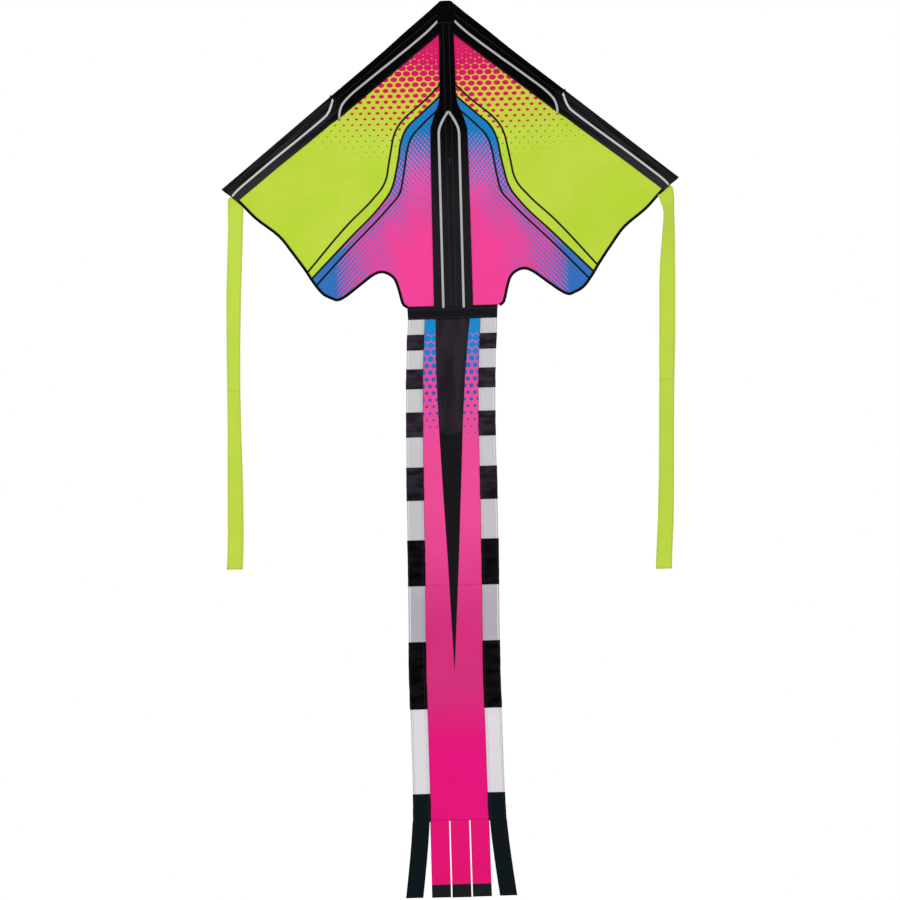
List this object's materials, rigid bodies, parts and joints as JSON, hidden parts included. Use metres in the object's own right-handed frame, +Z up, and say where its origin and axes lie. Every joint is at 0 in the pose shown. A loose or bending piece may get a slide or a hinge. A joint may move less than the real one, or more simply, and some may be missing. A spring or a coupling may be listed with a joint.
{
  "type": "delta kite",
  "caption": "single-line delta kite with printed half sails, black leading-edge sleeves, a keel, a long patched tail with a slit fringe and two wingtip streamers",
  "frame": {"origin": "the tip of the nose, where the kite hangs from a hook or a helper's hand", "axes": "+Z up the spine to the nose, +X to the right seen from the front, the printed front and the keel face -Y, and the spine and spreader lie behind the sail at +Y"},
  "size_m": [1.168, 0.2375, 2.2896],
  "materials": {
    "center_sail_panel": "satin",
    "nose_patch": "matte",
    "spine_rod": "satin",
    "spine_sleeve": "matte",
    "spine_top_cap": "matte",
    "spine_bottom_cap": "matte",
    "tail_header": "matte",
    "spreader_rod": "satin",
    "left_spreader_cap": "matte",
    "right_spreader_cap": "matte",
    "keel_panel": "satin",
    "tow_eyelet": "satin",
    "tow_eyelet_washer": "satin",
    "left_wing_panel": "satin",
    "left_trailing_edge_hem": "matte",
    "left_leading_edge_rod": "satin",
    "left_leading_edge_nose_cap": "matte",
    "left_leading_edge_tip_cap": "matte",
    "left_leading_edge_sleeve": "matte",
    "left_spreader_connector": "matte",
    "left_streamer_upper": "satin",
    "left_streamer_lower": "satin",
    "right_wing_panel": "satin",
    "right_trailing_edge_hem": "matte",
    "right_leading_edge_rod": "satin",
    "right_leading_edge_nose_cap": "matte",
    "right_leading_edge_tip_cap": "matte",
    "right_leading_edge_sleeve": "matte",
    "right_spreader_connector": "matte",
    "right_streamer_upper": "satin",
    "right_streamer_lower": "satin",
    "tail_panel_upper": "satin",
    "left_tail_strip_upper": "satin",
    "right_tail_strip_upper": "satin",
    "left_tail_patch_1": "matte",
    "left_tail_patch_2": "matte",
    "left_tail_patch_3": "matte",
    "left_tail_patch_4": "matte",
    "left_tail_patch_5": "matte",
    "right_tail_patch_1": "matte",
    "right_tail_patch_2": "matte",
    "right_tail_patch_3": "matte",
    "right_tail_patch_4": "matte",
    "right_tail_patch_5": "matte",
    "tail_panel_lower": "satin",
    "left_tail_strip_lower": "satin",
    "right_tail_strip_lower": "satin",
    "left_tail_patch_6": "matte",
    "left_tail_patch_7": "matte",
    "right_tail_patch_6": "matte",
    "right_tail_patch_7": "matte",
    "left_outer_tab": "satin",
    "left_inner_tab": "satin",
    "middle_tab": "satin",
    "right_inner_tab": "satin",
    "right_outer_tab": "satin"
  },
  "bodies": {
    "center": {"center_sail_panel": "center_sail_panel", "nose_patch": "nose_patch", "spine_rod": "spine_rod", "spine_sleeve": "spine_sleeve", "spine_top_cap": "spine_top_cap", "spine_bottom_cap": "spine_bottom_cap", "tail_header": "tail_header"},
    "spreader": {"spreader_rod": "spreader_rod", "left_spreader_cap": "left_spreader_cap", "right_spreader_cap": "right_spreader_cap"},
    "keel": {"keel_panel": "keel_panel", "tow_eyelet": "tow_eyelet", "tow_eyelet_washer": "tow_eyelet_washer"},
    "left_wing": {"left_wing_panel": "left_wing_panel", "left_trailing_edge_hem": "left_trailing_edge_hem", "left_leading_edge_rod": "left_leading_edge_rod", "left_leading_edge_nose_cap": "left_leading_edge_nose_cap", "left_leading_edge_tip_cap": "left_leading_edge_tip_cap", "left_leading_edge_sleeve": "left_leading_edge_sleeve", "left_spreader_connector": "left_spreader_connector"},
    "left_streamer_upper_body": {"left_streamer_upper": "left_streamer_upper"},
    "left_streamer_lower_body": {"left_streamer_lower": "left_streamer_lower"},
    "right_wing": {"right_wing_panel": "right_wing_panel", "right_trailing_edge_hem": "right_trailing_edge_hem", "right_leading_edge_rod": "right_leading_edge_rod", "right_leading_edge_nose_cap": "right_leading_edge_nose_cap", "right_leading_edge_tip_cap": "right_leading_edge_tip_cap", "right_leading_edge_sleeve": "right_leading_edge_sleeve", "right_spreader_connector": "right_spreader_connector"},
    "right_streamer_upper_body": {"right_streamer_upper": "right_streamer_upper"},
    "right_streamer_lower_body": {"right_streamer_lower": "right_streamer_lower"},
    "tail_upper_body": {"tail_panel_upper": "tail_panel_upper", "left_tail_strip_upper": "left_tail_strip_upper", "right_tail_strip_upper": "right_tail_strip_upper", "left_tail_patch_1": "left_tail_patch_1", "left_tail_patch_2": "left_tail_patch_2", "left_tail_patch_3": "left_tail_patch_3", "left_tail_patch_4": "left_tail_patch_4", "left_tail_patch_5": "left_tail_patch_5", "right_tail_patch_1": "right_tail_patch_1", "right_tail_patch_2": "right_tail_patch_2", "right_tail_patch_3": "right_tail_patch_3", "right_tail_patch_4": "right_tail_patch_4", "right_tail_patch_5": "right_tail_patch_5"},
    "tail_lower_body": {"tail_panel_lower": "tail_panel_lower", "left_tail_strip_lower": "left_tail_strip_lower", "right_tail_strip_lower": "right_tail_strip_lower", "left_tail_patch_6": "left_tail_patch_6", "left_tail_patch_7": "left_tail_patch_7", "right_tail_patch_6": "right_tail_patch_6", "right_tail_patch_7": "right_tail_patch_7"},
    "left_outer_tab_body": {"left_outer_tab": "left_outer_tab"},
    "left_inner_tab_body": {"left_inner_tab": "left_inner_tab"},
    "middle_tab_body": {"middle_tab": "middle_tab"},
    "right_inner_tab_body": {"right_inner_tab": "right_inner_tab"},
    "right_outer_tab_body": {"right_outer_tab": "right_outer_tab"}
  },
  "joints": [
    {"name": "left_wing_fold", "type": "hinge", "parent": "center", "child": "left_wing", "pos_m": [-0.015, 0, 0], "axis": [0.1265, 0, 0.992], "range_deg": [0, 85]},
    {"name": "right_wing_fold", "type": "hinge", "parent": "center", "child": "right_wing", "pos_m": [0.015, 0, 0], "axis": [-0.1265, 0, 0.992], "range_deg": [-85, 0]},
    {"name": "spreader_release", "type": "slide", "parent": "center", "child": "spreader", "axis": [0, 1, 0], "range_m": [0, 0.06]},
    {"name": "keel_swing", "type": "hinge", "parent": "center", "child": "keel", "pos_m": [0, -0.0009, -0.262], "axis": [0, 0, 1], "range_deg": [-85, 85]},
    {"name": "tail_swing", "type": "hinge", "parent": "center", "child": "tail_upper_body", "pos_m": [0, 0, -0.813], "axis": [1, 0, 0], "range_deg": [-60, 60]},
    {"name": "tail_mid_bend", "type": "hinge", "parent": "tail_upper_body", "child": "tail_lower_body", "pos_m": [0, 0, -1.494], "axis": [1, 0, 0], "range_deg": [-60, 60]},
    {"name": "left_outer_tab_flap", "type": "hinge", "parent": "tail_lower_body", "child": "left_outer_tab_body", "pos_m": [-0.0945, 0, -2.095], "axis": [1, 0, 0], "range_deg": [-75, 75]},
    {"name": "left_inner_tab_flap", "type": "hinge", "parent": "tail_lower_body", "child": "left_inner_tab_body", "pos_m": [-0.049, 0, -2.095], "axis": [1, 0, 0], "range_deg": [-75, 75]},
    {"name": "middle_tab_flap", "type": "hinge", "parent": "tail_lower_body", "child": "middle_tab_body", "pos_m": [0, 0, -2.095], "axis": [1, 0, 0], "range_deg": [-75, 75]},
    {"name": "right_inner_tab_flap", "type": "hinge", "parent": "tail_lower_body", "child": "right_inner_tab_body", "pos_m": [0.049, 0, -2.095], "axis": [1, 0, 0], "range_deg": [-75, 75]},
    {"name": "right_outer_tab_flap", "type": "hinge", "parent": "tail_lower_body", "child": "right_outer_tab_body", "pos_m": [0.0945, 0, -2.095], "axis": [1, 0, 0], "range_deg": [-75, 75]},
    {"name": "left_streamer_swing", "type": "hinge", "parent": "left_wing", "child": "left_streamer_upper_body", "pos_m": [-0.549, 0.0016, -0.521], "axis": [1, 0, 0], "range_deg": [-70, 70]},
    {"name": "left_streamer_bend", "type": "hinge", "parent": "left_streamer_upper_body", "child": "left_streamer_lower_body", "pos_m": [-0.549, 0.0016, -0.983], "axis": [1, 0, 0], "range_deg": [-70, 70]},
    {"name": "right_streamer_swing", "type": "hinge", "parent": "right_wing", "child": "right_streamer_upper_body", "pos_m": [0.549, 0.0016, -0.521], "axis": [-1, 0, 0], "range_deg": [-70, 70]},
    {"name": "right_streamer_bend", "type": "hinge", "parent": "right_streamer_upper_body", "child": "right_streamer_lower_body", "pos_m": [0.549, 0.0016, -0.983], "axis": [-1, 0, 0], "range_deg": [-70, 70]}
  ]
}
